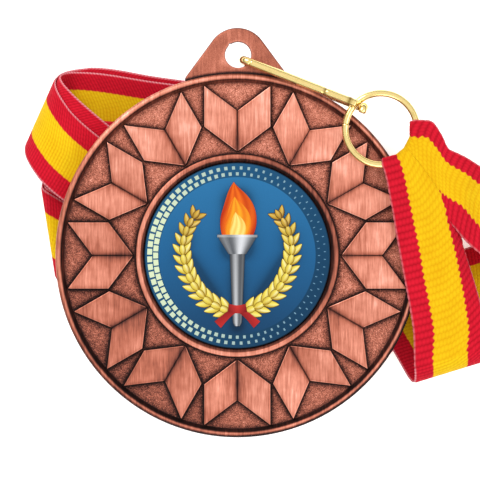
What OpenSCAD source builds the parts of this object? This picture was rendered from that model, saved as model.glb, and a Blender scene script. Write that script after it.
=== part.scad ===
// Sports finisher medal laid face up on its folded neck ribbon.
// Origin: centre of the medal's disc, on the surface that the folded ribbon lies on.
// +Z points out of the medal's face, +Y from the disc's centre to its hanging tab.

/* [Medal] */
// Diameter of the medal's disc
medal_d = 50; // [44:1:54]
// Thickness of the disc at its rim
medal_t = 2.8; // [2.4:0.1:3.2]
// Width of the raised rim
rim_w = 1.15; // [0.8:0.05:1.6]
// Depth of the stippled field below the rim
field_drop = 0.9; // [0.7:0.05:1.1]
// Inner radius of the bezel round the insert
bezel_r = 12.85; // [12.7:0.05:13.2]
// Width of the bezel
bezel_w = 1.05; // [0.8:0.05:1.3]
// Number of pairs of raised plates round the field
plate_pairs = 12; // [6:1:12]
// Height of a plate above the field at the groove of its pair
plate_low = 0.35; // [0.2:0.05:0.5]
// Height of a plate above the field at its outer edge
plate_high = 0.8; // [0.6:0.05:0.85]

/* [Hanging tab] */
// Distance from the disc's centre to the hanging hole
hole_y = 27.6; // [27:0.1:28.5]
// Radius of the hanging hole
hole_r = 1.8; // [1.6:0.05:2.1]
// Thickness of the tab
tab_t = 2.1; // [1.8:0.1:2.3]
// Radius of the tab's round top
tab_r = 4.2; // [3.8:0.1:4.6]

/* [Insert] */
// Diameter of the printed insert
insert_d = 25; // [24.6:0.1:25.4]
// Thickness of the printed insert
insert_t = 0.8; // [0.5:0.05:0.9]
// Thickness of the adhesive under the insert
glue_t = 0.15; // [0.1:0.05:0.2]

/* [Clip and ring] */
// Diameter of the clip's wire
clip_wire = 1.1; // [1:0.05:1.2]
// Direction of the clip in the plane of the medal
clip_heading = -21.5; // [-23:0.5:-20]
// Distance from the wire in the hanging hole to the ring's wire
clip_reach = 16.58; // [16.5:0.02:16.7]
// Diameter of the ring's wire
ring_wire = 0.95; // [0.85:0.05:1]
// Radius of the ring to the middle of its wire
ring_r = 4.9; // [4.8:0.05:4.95]

/* [Ribbon] */
// Width of the ribbon
ribbon_w = 10; // [9:0.5:10]
// Thickness of the ribbon
ribbon_t = 0.38; // [0.3:0.02:0.4]
// Height of the folded ribbon under the medal
stack_h = 7.6; // [7.4:0.1:7.6]

/* [Hidden] */
$fn = 96;

copper = [0.72, 0.42, 0.33];
gold = [0.87, 0.70, 0.34];
red = [0.80, 0.08, 0.15];
yellow = [0.95, 0.80, 0.13];

medal_r = medal_d / 2;
medal_z = stack_h + 0.1;
medal_top = medal_z + medal_t;
field_z = medal_top - field_drop;
insert_floor = 1.7;
back_recess = 0.4;
back_rim = 1.4;
edge = 0.25;
tab_z = medal_z + 0.3;
tab_centre_y = hole_y - 0.5;
tab_foot = [7.2, 24.4];

// Corners of one raised plate, from the groove of its pair outwards.
plate_a = [14.3, 0.07];
plate_b = [19.9, 0.07];
plate_c = [23.3, 4.55];
plate_d = [17.7, 4.55];
plate_tilt = atan((plate_high - plate_low) / plate_c[1]);

// The clip lies in a vertical plane through the hole: s runs along it from the wire in the hole.
clip_from = [0.81, 26.89];
clip_r = clip_wire / 2;
bend_r = 1.0;
clip_low = medal_z - 1.15;
arm_gap = 0.6;
arm_base_s = bend_r + 0.05 + arm_gap;
arm_base_z = medal_top + 0.65;
ring_z = medal_top + 1.15;
arm_end_s = clip_reach;
arm_end_z = ring_z + ring_wire / 2 + 0.1 + clip_r;
clip_end_s = clip_reach + 1.2;
hook_r = 0.75;
hook_tip = 0.35;

// The ring's centre: the clip's wire crosses the ring at this angle of its circle.
ring_cross = 135;
clip_u = [cos(clip_heading), sin(clip_heading)];
ring_c = clip_from + clip_reach * clip_u - ring_r * [cos(ring_cross), sin(ring_cross)];
ring_seam = 172;
ring_slit = 1.5;

// The ribbon's fold through the ring: a chord of the ring, and the plies above and below its wire.
fold_heading = 49.6;
fold_mid = [22.1, 15.7];
fold_l = 6.4;
ply_gap = 0.1;
fold_top = ring_z + ring_wire / 2 + ply_gap + ribbon_t / 2;
fold_low = ring_z - ring_wire / 2 - ply_gap - ribbon_t / 2;
fold_plate = [[19.6, 12.8], [24.8, 18.9], [26.4, 18.6], [28, 16.8], [29.5, 14.4], [30.4, 10.1],
    [20.6, 8.5]];
fold_tail = [[19.9, 13.15], [24.3, 18.3], [29, 13.8], [24.8, 8.9]];

// Middle line of each strip: x, y, z and heading, by hand.
front_route = [[25.5, 9.2, 12.4, -81], [26.2, 5.5, 11.5, -81], [26.9, 1, 11.1, -81],
    [27.6, -4, 10.95, -81], [28.2, -8.5, 10.8, -81], [28.6, -12.5, 10.45, -81]];
front_turn = [28.7, -13.5];
front_turn_angle = 20;
front_back = 122;
front_level = 6.23;
// The side strip leaves the front strip along its edge, so its rungs start slanting: x, y, z, slant.
side_route = [[31.2, 8.2, 11.8, 99], [34, 6, 10.2, 90], [36.9, 3.75, 8.7, 80]];
side_out = -38;
side_turn = [36.6, 0.3];
side_turn_angle = 80;
side_back = 198;
side_low = 0.7;
side_high = 5.75;
upper_turn = [-24, 18.2];
upper_turn_angle = 66;
upper_in = 172;
upper_out = -40;
lower_turn = [-25.2, 3.4];
lower_turn_angle = 99;
lower_in = 229;
lower_out = -31;
lower_from = 2.87;
lower_to = 4.39;
pair_t = 0.83;
stack_outline = [[-17.8, 0], [-17.7, 9], [-17, 14.5], [-8, 20], [14, 19.5], [18, 12], [19, -6],
    [13, -16], [4, -21], [-6, -19], [-15, -10]];

// A quarter bend of wire, from +X of its centre round to +Y of it, in the XY plane.
module quarter(bend, r) {
    rotate_extrude(angle = 90) translate([bend, 0]) circle(r, $fn = 48);
}

// Places a piece drawn in the clip's plane: X along the clip, Y up.
module in_clip_plane() {
    translate([clip_from[0], clip_from[1], 0])
        rotate([0, 0, clip_heading])
            rotate([90, 0, 0])
                children();
}

module medal_profile() {
    polygon([[0, back_recess], [medal_r - back_rim, back_recess], [medal_r - back_rim, 0],
        [medal_r - edge, 0], [medal_r, edge], [medal_r, medal_t - edge],
        [medal_r - edge, medal_t], [medal_r - rim_w + edge / 2, medal_t],
        [medal_r - rim_w, medal_t - edge / 2], [medal_r - rim_w, medal_t - field_drop],
        [bezel_r + bezel_w, medal_t - field_drop], [bezel_r + bezel_w, medal_t - 0.2],
        [bezel_r + bezel_w - 0.15, medal_t - 0.05], [bezel_r + 0.15, medal_t - 0.05],
        [bezel_r, medal_t - 0.2], [bezel_r, insert_floor], [0, insert_floor]]);
}

module plate(side) {
    flip = side < 0 ? 1 : 0;
    mirror([0, flip, 0])
        translate([0, 0, field_z + plate_low])
            rotate([plate_tilt, 0, 0])
                translate([0, 0, -1])
                    linear_extrude(1)
                        polygon([plate_a, plate_b, plate_c, plate_d]);
}

module tab_outline() {
    reach = norm([tab_foot[0], tab_centre_y - tab_foot[1]]);
    touch = acos(tab_r / reach) - atan((tab_centre_y - tab_foot[1]) / tab_foot[0]);
    touch_x = tab_r * cos(touch);
    touch_y = tab_centre_y + tab_r * sin(touch);
    translate([0, tab_centre_y]) circle(tab_r);
    polygon([[touch_x, touch_y], tab_foot, [tab_foot[0], 23], [-tab_foot[0], 23],
        [-tab_foot[0], tab_foot[1]], [-touch_x, touch_y]]);
}

module medal_casting() {
    color(copper)
        difference() {
            union() {
                translate([0, 0, medal_z]) rotate_extrude($fn = 180) medal_profile();
                translate([0, 0, tab_z])
                    linear_extrude(tab_t)
                        difference() {
                            tab_outline();
                            circle(medal_r - rim_w / 2);
                        }
                for (i = [0 : plate_pairs - 1])
                    rotate([0, 0, 90 + i * 360 / plate_pairs]) {
                        plate(1);
                        plate(-1);
                    }
            }
            translate([0.1, hole_y, medal_z - 1]) cylinder(r = hole_r, h = medal_t + 2);
        }
}

module printed_insert() {
    color([0.16, 0.42, 0.65])
        translate([0, 0, medal_z + insert_floor + glue_t])
            cylinder(d = insert_d, h = insert_t);
}

module insert_adhesive() {
    color([0.9, 0.9, 0.86])
        translate([0, 0, medal_z + insert_floor])
            cylinder(d = insert_d - 0.6, h = glue_t);
}

module clip_frame() {
    upright_low = clip_low + bend_r;
    upright_high = arm_base_z - bend_r;
    end_high = arm_end_z - hook_r;
    color(gold)
        in_clip_plane() {
            // From the arm's foot over the tab, down through the hole and back along underneath.
            translate([bend_r, upright_high, 0]) rotate([0, 0, 90]) quarter(bend_r, clip_r);
            translate([0, upright_low, 0]) rotate([-90, 0, 0])
                cylinder(r = clip_r, h = upright_high - upright_low);
            translate([bend_r, upright_low, 0]) rotate([0, 0, 180]) quarter(bend_r, clip_r);
            translate([bend_r, clip_low, 0]) rotate([0, 90, 0])
                cylinder(r = clip_r, h = clip_end_s - 2 * bend_r);
            // Up past the ring, then sideways as a short hook.
            translate([clip_end_s - bend_r, upright_low, 0]) rotate([0, 0, -90])
                quarter(bend_r, clip_r);
            translate([clip_end_s, upright_low, 0]) rotate([-90, 0, 0])
                cylinder(r = clip_r, h = end_high - upright_low);
            translate([clip_end_s, end_high, hook_r]) rotate([0, 90, 0])
                quarter(hook_r, clip_r);
            translate([clip_end_s, arm_end_z, hook_r]) cylinder(r = clip_r, h = hook_tip);
            translate([clip_end_s, arm_end_z, hook_r + hook_tip]) sphere(clip_r);
        }
}

module clip_spring_arm() {
    run = arm_end_s - arm_base_s;
    rise = arm_end_z - arm_base_z;
    color(gold)
        in_clip_plane()
            translate([arm_base_s, arm_base_z, 0])
                rotate([0, 90, atan(rise / run)])
                    cylinder(r = clip_r, h = norm([run, rise]));
}

module jump_ring() {
    color(gold)
        translate([ring_c[0], ring_c[1], ring_z])
            rotate([0, 0, ring_seam])
                rotate_extrude(angle = 360 - ring_slit)
                    translate([ring_r, 0]) circle(ring_wire / 2, $fn = 48);
}

module ribbon_ring_fold() {
    turn_r = (fold_top - fold_low) / 2;
    color(red) {
        translate([0, 0, fold_top - ribbon_t / 2]) linear_extrude(ribbon_t) polygon(fold_plate);
        translate([0, 0, fold_low - ribbon_t / 2]) linear_extrude(ribbon_t) polygon(fold_tail);
        // The half round of the fold, inside the ring.
        translate([fold_mid[0], fold_mid[1], ring_z])
            rotate([0, 0, fold_heading])
                translate([-fold_l / 2, -0.3, 0])
                    rotate([90, 0, 90])
                        linear_extrude(fold_l)
                            difference() {
                                circle(turn_r + ribbon_t / 2);
                                circle(turn_r - ribbon_t / 2);
                                translate([-5, -5]) square([5, 10]);
                            }
    }
}

function unit(v) = v / norm(v);
function plan(a) = [cos(a), sin(a), 0];

// The four corners of a ply at one rung, from its middle, half width vector and travel.
function corners(c, half, travel, t) =
    let (n = unit(cross(travel, half)) * t / 2)
    [c + half + n, c - half + n, c - half - n, c + half - n];

// Rungs of a level ply's route: middle, half width vector and direction of travel.
function route_rungs(pts) = [for (i = [0 : len(pts) - 1])
    let (p = pts[i],
         a = pts[max(i - 1, 0)],
         b = pts[min(i + 1, len(pts) - 1)])
    [[p[0], p[1], p[2]], plan(p[3] + 90) * ribbon_w / 2, [b[0] - a[0], b[1] - a[1], b[2] - a[2]]]];

// Rungs round a fold: p is its middle, f the heading of the fold's line, z0 and z1 its levels.
function fold_rungs(p, f, in_heading, z0, z1, steps = 8) =
    let (r = abs(z1 - z0) / 2,
         line = plan(f),
         along = plan(in_heading) * line,
         over = unit(plan(in_heading) - line * along),
         half = (cross(plan(in_heading), line)[2] < 0 ? -1 : 1) * line * ribbon_w / 2
             / sqrt(1 - along * along),
         slip = line * PI * r * along / sqrt(1 - along * along))
    [for (i = [0 : steps])
        let (w = 180 * i / steps)
        [[p[0], p[1], (z0 + z1) / 2] + slip * (i / steps - 0.5) + over * r * sin(w)
             + [0, 0, (z0 - z1) / 2 * cos(w)],
         half,
         over * r * cos(w) + slip / PI + [0, 0, (z1 - z0) / 2 * sin(w)]]];

// A rung on the far side of a fold, a distance on along the outgoing heading.
function after_fold(rungs, heading, distance, z) =
    let (last = rungs[len(rungs) - 1][0])
    [[last[0], last[1], z] + plan(heading) * distance, plan(heading - 90) * ribbon_w / 2,
     plan(heading)];

function before_fold(rungs, heading, distance, z) =
    let (first = rungs[0][0])
    [[first[0], first[1], z] - plan(heading) * distance, plan(heading + 90) * ribbon_w / 2,
     plan(heading)];

// A ply of ribbon t thick through its rungs; its two faces are split along the same diagonal.
module ply(rungs, t) {
    n = len(rungs);
    points = [for (r = rungs) each corners(r[0], r[1], r[2], t)];
    sides = [for (i = [0 : n - 2]) for (k = [0 : 3])
        let (a = 4 * i + k, b = a + 4, d = 4 * i + (k + 1) % 4, c = d + 4)
        each (k == 2 ? [[a, b, d], [b, c, d]] : [[a, b, c], [a, c, d]])];
    last = 4 * (n - 1);
    polyhedron(points, concat([[0, 1, 2, 3]], sides, [[last + 3, last + 2, last + 1, last]]),
        convexity = 4);
}

module ribbon_front_strip() {
    color(yellow) ply(route_rungs(front_route), ribbon_t);
}

module ribbon_front_return() {
    start = front_route[len(front_route) - 1];
    turn = fold_rungs(front_turn, front_turn_angle, start[3], start[2], front_level);
    color(yellow) ply(concat(turn, [after_fold(turn, front_back, 6, front_level)]), ribbon_t);
}

module ribbon_side_strip() {
    color(red)
        ply([for (p = side_route) [[p[0], p[1], p[2]],
                plan(p[3]) * ribbon_w / 2 / sin(p[3] - side_out),
                plan(side_out) - [0, 0, 0.5]]],
            ribbon_t);
}

module ribbon_side_return() {
    start = side_route[len(side_route) - 1];
    turn = fold_rungs(side_turn, side_turn_angle, side_out, start[2] - 0.1, side_low);
    color(red)
        ply(concat(turn, [after_fold(turn, side_back, 6, 1.6),
                after_fold(turn, side_back, 15.5, side_high)]),
            ribbon_t);
}

module ribbon_upper_loop() {
    turn = fold_rungs(upper_turn, upper_turn_angle, upper_in, pair_t / 2, stack_h - pair_t / 2);
    color(yellow)
        ply(concat([before_fold(turn, upper_in, 4.5, pair_t / 2)], turn,
                [after_fold(turn, upper_out, 6, stack_h - pair_t / 2)]),
            pair_t);
}

module ribbon_lower_loop() {
    turn = fold_rungs(lower_turn, lower_turn_angle, lower_in, lower_from, lower_to, 6);
    color(red)
        ply(concat([before_fold(turn, lower_in, 5, lower_from)], turn,
                [after_fold(turn, lower_out, 5, lower_to)]),
            pair_t);
}

module ribbon_stack() {
    color(red) linear_extrude(stack_h) polygon(stack_outline);
}

medal_casting();
printed_insert();
insert_adhesive();
clip_frame();
clip_spring_arm();
jump_ring();
ribbon_ring_fold();
ribbon_front_strip();
ribbon_front_return();
ribbon_side_strip();
ribbon_side_return();
ribbon_upper_loop();
ribbon_lower_loop();
ribbon_stack();
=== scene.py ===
import bpy, math
import numpy as np
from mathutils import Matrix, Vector


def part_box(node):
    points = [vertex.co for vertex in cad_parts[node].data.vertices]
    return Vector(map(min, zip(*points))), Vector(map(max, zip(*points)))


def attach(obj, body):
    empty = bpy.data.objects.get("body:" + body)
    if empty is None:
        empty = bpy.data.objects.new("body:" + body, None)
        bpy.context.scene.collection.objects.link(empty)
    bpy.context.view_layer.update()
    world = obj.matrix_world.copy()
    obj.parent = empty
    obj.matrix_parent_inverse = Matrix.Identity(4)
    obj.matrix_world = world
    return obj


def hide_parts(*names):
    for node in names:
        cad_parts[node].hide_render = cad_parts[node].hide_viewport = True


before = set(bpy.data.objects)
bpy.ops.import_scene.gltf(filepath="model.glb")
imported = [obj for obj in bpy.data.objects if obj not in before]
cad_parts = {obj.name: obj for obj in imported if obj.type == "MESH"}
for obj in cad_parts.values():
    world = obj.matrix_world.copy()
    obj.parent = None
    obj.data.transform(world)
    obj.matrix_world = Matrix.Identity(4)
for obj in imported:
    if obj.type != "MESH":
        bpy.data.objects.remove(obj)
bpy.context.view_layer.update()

SC = bpy.context.scene
MM = 0.001

# ---------------------------------------------------------------- camera and light
# The view is a 36 mm frame through a 300 mm lens, 32.96 mm to each side at the height of the medal's face.
LENS, SENSOR = 300, 36
HALF_VIEW, FACE_Z = 32.96, 10.5
VIEW_X, VIEW_Y = 0.37, 2.13
cam = bpy.data.objects.new("camera", bpy.data.cameras.new("camera"))
SC.collection.objects.link(cam)
cam.data.lens, cam.data.sensor_width = LENS, SENSOR
cam.data.clip_start, cam.data.clip_end = 0.01, 10
cam.location = (VIEW_X * MM, VIEW_Y * MM, (FACE_Z + HALF_VIEW * LENS / (SENSOR / 2)) * MM)
SC.camera = cam

# The world is a soft box: dark at the horizon, white overhead.
SKY = ((0.0, 0.10), (0.16, 0.16), (0.42, 0.85), (1.0, 1.0))
SKY_POWER = 1.06
world = bpy.data.worlds.new("studio")
SC.world = world
world.use_nodes = True
sky = world.node_tree
back = sky.nodes["Background"]
back.inputs[1].default_value = SKY_POWER
up = sky.nodes.new("ShaderNodeSeparateXYZ")
sky.links.new(sky.nodes.new("ShaderNodeTexCoord").outputs["Generated"], up.inputs[0])
fade = sky.nodes.new("ShaderNodeValToRGB")
while len(fade.color_ramp.elements) < len(SKY):
    fade.color_ramp.elements.new(0.5)
for stop, (height, tone) in zip(fade.color_ramp.elements, SKY):
    stop.position = height
    stop.color = (tone, tone, tone, 1)
sky.links.new(up.outputs[2], fade.inputs[0])
sky.links.new(fade.outputs[0], back.inputs[0])


def lamp(name, place, aim, size, power):
    d = bpy.data.lights.new(name, "AREA")
    d.size, d.energy = size * MM, power
    o = bpy.data.objects.new(name, d)
    o.location = [c * MM for c in place]
    o.rotation_euler = (Vector(aim) - Vector(place)).to_track_quat("-Z", "Y").to_euler()
    SC.collection.objects.link(o)


lamp("key", (-150, 210, 230), (0, 0, 8), 150, 0.62)
lamp("fill", (200, -60, 220), (0, 0, 8), 200, 0.30)
lamp("front", (-20, -240, 180), (0, 0, 8), 180, 0.22)

SC.view_settings.view_transform = "Standard"


# ---------------------------------------------------------------- small helpers
def mesh(name, verts, faces, smooth=True, mat=None):
    m = bpy.data.meshes.new(name)
    m.from_pydata([tuple(v) for v in np.asarray(verts, float) * MM], [], [tuple(f) for f in faces])
    m.validate()
    m.update()
    if smooth:
        m.polygons.foreach_set("use_smooth", np.ones(len(m.polygons), bool))
    o = bpy.data.objects.new(name, m)
    SC.collection.objects.link(o)
    if mat:
        m.materials.append(mat)
    return o


def attr(obj, name, values):
    a = obj.data.attributes.new(name, "FLOAT", "POINT")
    a.data.foreach_set("value", np.asarray(values, np.float32))


def merged(parts):
    """The vertices and faces of (vertices, faces, value) parts as one mesh, and where each part starts."""
    starts = np.concatenate([[0], np.cumsum([len(v) for v, _, _ in parts])])
    faces = [[i + int(n) for i in f] for (_, part, _), n in zip(parts, starts) for f in part]
    return np.concatenate([v for v, _, _ in parts]), faces, starts


def join(name, parts, mat=None):
    """One smooth mesh from (vertices, faces, {attribute: values}) parts; what a part lacks is 0."""
    verts, faces, starts = merged(parts)
    o = mesh(name, verts, faces, True, mat)
    for key in dict.fromkeys(k for _, _, values in parts for k in values):
        full = np.zeros(len(verts))
        for (v, _, values), n in zip(parts, starts):
            if key in values:
                full[n:n + len(v)] = values[key]
        attr(o, key, full)
    return o


def grid_faces(rows, cols, wrap_r=False, wrap_c=False, flip=False):
    """Quads between rows of points, joined end to end where they wrap."""
    out = []
    for i in range(rows if wrap_r else rows - 1):
        for j in range(cols if wrap_c else cols - 1):
            a, b = i * cols + j, i * cols + (j + 1) % cols
            c, d = ((i + 1) % rows) * cols + (j + 1) % cols, ((i + 1) % rows) * cols + j
            out.append([a, d, c, b] if flip else [a, b, c, d])
    return out


def head(a, n=3):
    """The unit vector at that many degrees from X, in plan."""
    r = math.radians(a)
    return np.array([math.cos(r), math.sin(r), 0.0][:n])


# ---------------------------------------------------------------- shader helpers
class Nodes:
    def __init__(self, name):
        self.mat = bpy.data.materials.new(name)
        self.mat.use_nodes = True
        self.t = self.mat.node_tree
        self.bsdf = self.t.nodes["Principled BSDF"]

    def add(self, kind, **props):
        n = self.t.nodes.new("ShaderNode" + kind)
        for k, v in props.items():
            setattr(n, k, v)
        return n

    def link(self, a, b):
        self.t.links.new(a, b)

    def put(self, sock, v):
        if hasattr(v, "is_linked") or hasattr(v, "links"):
            self.link(v, sock)
        elif isinstance(v, (tuple, list)) and len(v) == 3 and sock.type == "RGBA":
            sock.default_value = (*v, 1)
        else:
            sock.default_value = v

    def math(self, op, a, b=0.0, c=0.0, clamp=False):
        n = self.add("Math", operation=op, use_clamp=clamp)
        for s, v in zip(n.inputs, (a, b, c)):
            self.put(s, v)
        return n.outputs[0]

    def mix(self, f, a, b):
        n = self.add("Mix", data_type="RGBA")
        self.put(n.inputs[0], f)
        self.put(n.inputs[6], a)
        self.put(n.inputs[7], b)
        return n.outputs[2]

    def ramp(self, f, stops):
        n = self.add("ValToRGB")
        e = n.color_ramp.elements
        while len(e) < len(stops):
            e.new(0.5)
        for el, (p, c) in zip(e, stops):
            el.position = p
            el.color = (c, c, c, 1) if not hasattr(c, "__len__") else (*c, 1)
        self.put(n.inputs[0], f)
        return n.outputs[0]

    def noise(self, vec, scale, detail=2.0, rough=0.5):
        n = self.add("TexNoise")
        self.put(n.inputs["Vector"], vec)
        n.inputs["Scale"].default_value = scale
        n.inputs["Detail"].default_value = detail
        n.inputs["Roughness"].default_value = rough
        return n.outputs["Fac"]

    def attr(self, name):
        return self.add("Attribute", attribute_name=name).outputs["Fac"]

    def place(self):
        """The point in the object's own frame, in millimetres."""
        c = self.add("TexCoord").outputs["Object"]
        n = self.add("Mapping")
        n.inputs["Scale"].default_value = (1000, 1000, 1000)
        self.link(c, n.inputs["Vector"])
        return n.outputs[0]

    def scaled(self, vec, s):
        n = self.add("Mapping")
        n.inputs["Scale"].default_value = s
        self.link(vec, n.inputs["Vector"])
        return n.outputs[0]

    def bump(self, height, strength, distance):
        n = self.add("Bump")
        n.inputs["Strength"].default_value = strength
        n.inputs["Distance"].default_value = distance
        self.put(n.inputs["Height"], height)
        return n.outputs[0]

    def set(self, **v):
        names = {"color": "Base Color", "rough": "Roughness", "metal": "Metallic", "normal": "Normal",
                 "sheen": "Sheen Weight", "spec": "Specular IOR Level"}
        for k, x in v.items():
            self.put(self.bsdf.inputs[names[k]], x)
        return self.mat


def srgb(*rgb):
    """A colour from 0 to 255 a channel, as linear values."""
    return tuple(((c / 255 + 0.055) / 1.055) ** 2.4 if c > 10 else c / 255 / 12.92 for c in rgb)


def tint(*rgb):
    """A colour as it should look under the lights, which are brighter than one."""
    return tuple(0.72 * v for v in srgb(*rgb))


# ---------------------------------------------------------------- ribbon
WIDTH, T = 10.0, 0.34
HALF = WIDTH / 2
STRIPE_U = (0.0, 2.6, 7.4, WIDTH)


class Strand:
    """Rungs across a ribbon: rows of u, x, y, z from one selvage to the other, and a sampling step."""

    def __init__(self):
        self.rungs, self.step = [], []

    def add(self, pts, step):
        self.rungs.append(np.array(pts, float))
        self.step.append(step)

    def side(self):
        r = self.rungs[-1]
        d = r[-1, 1:] - r[0, 1:]
        return d / np.linalg.norm(d)

    def level(self, c, along, half, step):
        """A straight rung through c whose direction is along or against the given vector."""
        along = along / np.linalg.norm(along)
        if self.rungs and np.dot(along, self.side()) < 0:
            along = -along
        c = np.asarray(c, float)
        self.add([[u, *(c + along * half * (u - HALF) / HALF)] for u in STRIPE_U], step)

    def leg(self, c, toward, step):
        """A rung square across a strip that runs flat that way."""
        self.level(c, head(toward + 90), HALF, step)

    def fold(self, a, b, f, h_in, h_out, z0, z1, step, n=20, lead=0.6, lag=0.6):
        """Round a fold from a to b in plan about a line of heading f, from level z0 to z1."""
        line = head(f)
        over = head(h_in) - line * np.dot(head(h_in), line)
        half = HALF / np.linalg.norm(over)
        over = over / np.linalg.norm(over)
        r, mid = (z1 - z0) / 2, (z0 + z1) / 2
        # A slanted line reaches this far along the strip on either side of its middle.
        ease = abs(np.dot(head(h_in), line)) * half
        a, b = np.array([*a, 0.0]), np.array([*b, 0.0])
        if lead is not None:
            self.leg(a - head(h_in) * (ease + lead) + [0, 0, z0], h_in, step)
        for i in range(n + 1):
            w = math.pi * i / n
            c = a + (b - a) * i / n + over * abs(r) * math.sin(w)
            c[2] = mid - r * math.cos(w)
            self.level(c, line, half, step)
        if lag is not None:
            self.leg(b + head(h_out) * (ease + lag) + [0, 0, z1], h_out, step)

    def turn(self, p, h_in, h_out, z0, z1, step, n=8, **kw):
        """A fold about the point p, with its line halfway between the two headings."""
        f = (h_in + h_out) / 2
        along = np.dot(head(h_in), head(f))
        slip = head(f, 2) * math.pi * abs(z1 - z0) / 2 * along / math.sqrt(1 - along * along)
        p = np.array(p, float)
        self.fold(p - slip / 2, p + slip / 2, f, h_in, h_out, z0, z1, step, n, **kw)


def heading(a, b):
    return math.degrees(math.atan2(b[1] - a[1], b[0] - a[0]))


RING = np.mean(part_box("jump_ring"), axis=0) / MM
RING_R, RING_WIRE = 4.9, 0.475
# The ply's middle lies this far from the middle of the ring's wire.
WIRE_PLY = RING_WIRE + 0.03 + T / 2


def at_ring(phi, w):
    """A point of the ply wrapped on the ring's wire: w is 90 on top, 180 inside the ring, 270 below."""
    r = RING_R + WIRE_PLY * math.cos(math.radians(w))
    return [*(RING[:2] + head(phi, 2) * r), RING[2] + WIRE_PLY * math.sin(math.radians(w))]


# Sampling steps along the strip where it shows and where it is hidden.
FINE, MID = 0.17, 0.62
# Heights of the plies between the loops and the medal, from the lowest up.
B_IN, A_IN, A_MID, TOP_IN, TOP_OUT = 5.82, 6.23, 6.64, 7.00, 7.41
TAIL_Z = 10.93


def trunk(s, phis, us, rows, tail):
    """The tail below the ring, the turn round its wire and the top ply's first rungs."""
    for r in tail:
        s.add([(u, x, y, TAIL_Z) for u, x, y in r], MID)
    for w in range(270, 89, -12):
        s.add([[u, *at_ring(p, w)] for u, p in zip(us, phis)], FINE)
    for r in rows:
        s.add(r, FINE)


# The strip that lies over the medal's right edge.
A = Strand()
trunk(A, (-89, -60, -38.5), (0, 2.6, 5), [
    [(0, 20.05, 11.7, 12.36), (2.6, 22.5, 12.2, 12.38), (5.7, 24.7, 12.95, 12.4)],
    [(0, 20.45, 10.2, 12.2), (2.6, 22.95, 10.6, 12.3), (6.5, 26.0, 11.25, 12.33)],
    [(0, 20.9, 7.9, 11.85), (2.6, 23.45, 8.1, 11.95), (7.4, 27.75, 8.8, 12.05)],
    [(0, 21.3, 5.9, 11.5), (2.6, 23.9, 6.1, 11.6), (7.4, 28.45, 6.5, 11.65), (8.5, 29.2, 6.6, 11.1)],
    [(0, 21.65, 3.7, 11.25), (2.6, 24.35, 3.95, 11.3), (7.4, 29.05, 3.7, 11.3), (9.6, 30.4, 3.7, 10.1)],
    [(0, 22.15, 0.9, 11.05), (2.6, 24.95, 1.1, 11.1), (7.4, 29.75, 1.0, 11.05), (10, 31.1, 1.2, 9.6)],
    [(0, 22.9, -3.1, 10.95), (2.6, 25.6, -2.9, 10.98), (7.4, 30.55, -2.8, 10.9), (10, 32.3, -2.6, 9.7)],
    [(0, 23.65, -7.2, 10.95), (2.6, 26.4, -6.9, 10.9), (7.4, 31.25, -6.6, 10.7), (10, 33.4, -6.4, 10.0)],
    [(0, 24.2, -11.3, 10.8), (2.6, 27.0, -11.1, 10.7), (7.4, 31.75, -10.6, 10.5), (10, 34.3, -10.4, 10.3)],
], [
    [(0, 21.0, 9.8), (2.6, 23.0, 10.3), (5, 25.2, 10.8)],
    [(0, 20.4, 11.4), (2.6, 22.5, 12.0), (5, 24.4, 12.7)],
])
A.front = len(A.rungs)
A.fold((29.2, -13.7), (27.8, -14.15), 17, -85, 119, 10.5, A_IN, FINE, 24, lead=None, lag=0.8)
A_TURNS = [(19.2, 2.6), (9.1, -11.0)]
behind_fold = (26.83, -12.4)
first = heading(behind_fold, A_TURNS[0])
second = heading(*A_TURNS)
A.leg([23.4, -6.2, A_IN], 119, MID)
A.turn(A_TURNS[0], first, second, A_IN, A_MID, MID)
A.turn(A_TURNS[1], second, 140, A_MID, TOP_IN, MID)

# The strip beside it.
B = Strand()
trunk(B, (15, -14, -40.5), (0, 2.6, 5), [
    [(0, 26.3, 18.5, 12.36), (2.6, 25.75, 16.25, 12.38), (5.7, 24.75, 13.0, 12.36), (6.5, 24.5, 12.2, 12.0)],
    [(0, 27.9, 16.7, 12.32), (2.6, 27.2, 14.8, 12.35), (6.5, 26.05, 11.3, 12.3), (7.3, 25.8, 10.5, 11.95)],
    [(0, 29.0, 14.6, 12.25), (2.6, 28.65, 12.8, 12.25), (7.4, 27.8, 8.85, 12.05), (8.3, 27.6, 8.0, 11.7)],
    [(0, 30.05, 14.1, 12.1), (2.6, 29.9, 12.0, 12.1), (7.4, 29.0, 7.95, 11.95), (9.6, 28.6, 5.6, 11.3)],
    [(0, 31.3, 13.5, 11.8), (2.6, 31.3, 11.2, 11.8), (7.4, 30.75, 6.9, 11.75), (10, 30.2, 3.3, 10.95)],
    [(0, 33.3, 12.3, 11.0), (2.6, 33.0, 9.9, 11.0), (7.4, 32.1, 5.3, 11.0), (10, 31.5, 1.8, 10.7)],
], [
    [(0, 27.6, 15.6), (2.6, 26.8, 14.0), (5, 25.4, 10.9)],
    [(0, 25.9, 17.6), (2.6, 25.4, 16.0), (5, 24.5, 12.8)],
])
B.level([35.2, 5.2, 9.7], head(80), 5.7, MID)
B.front = len(B.rungs)
B.fold((37.3, 3.6), (36.1, -2.9), 80, -38, 198, 8.5, 0.7, MID, 20, lead=None, lag=1.0)
B.leg([20.9, -7.8, B_IN], 198, MID)
B.turn((7.5, -12.15), 198, 140, B_IN, TOP_OUT, MID, 12)

# Both strips together, one on the other, under the medal and round the two loops at its left.
LOOP_TURNS = (14, 15.8), (6, -10), (-13, 17.6), (-25.2, 3.4), (9.25, -18.2)
NECK = (-9, -9)


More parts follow.
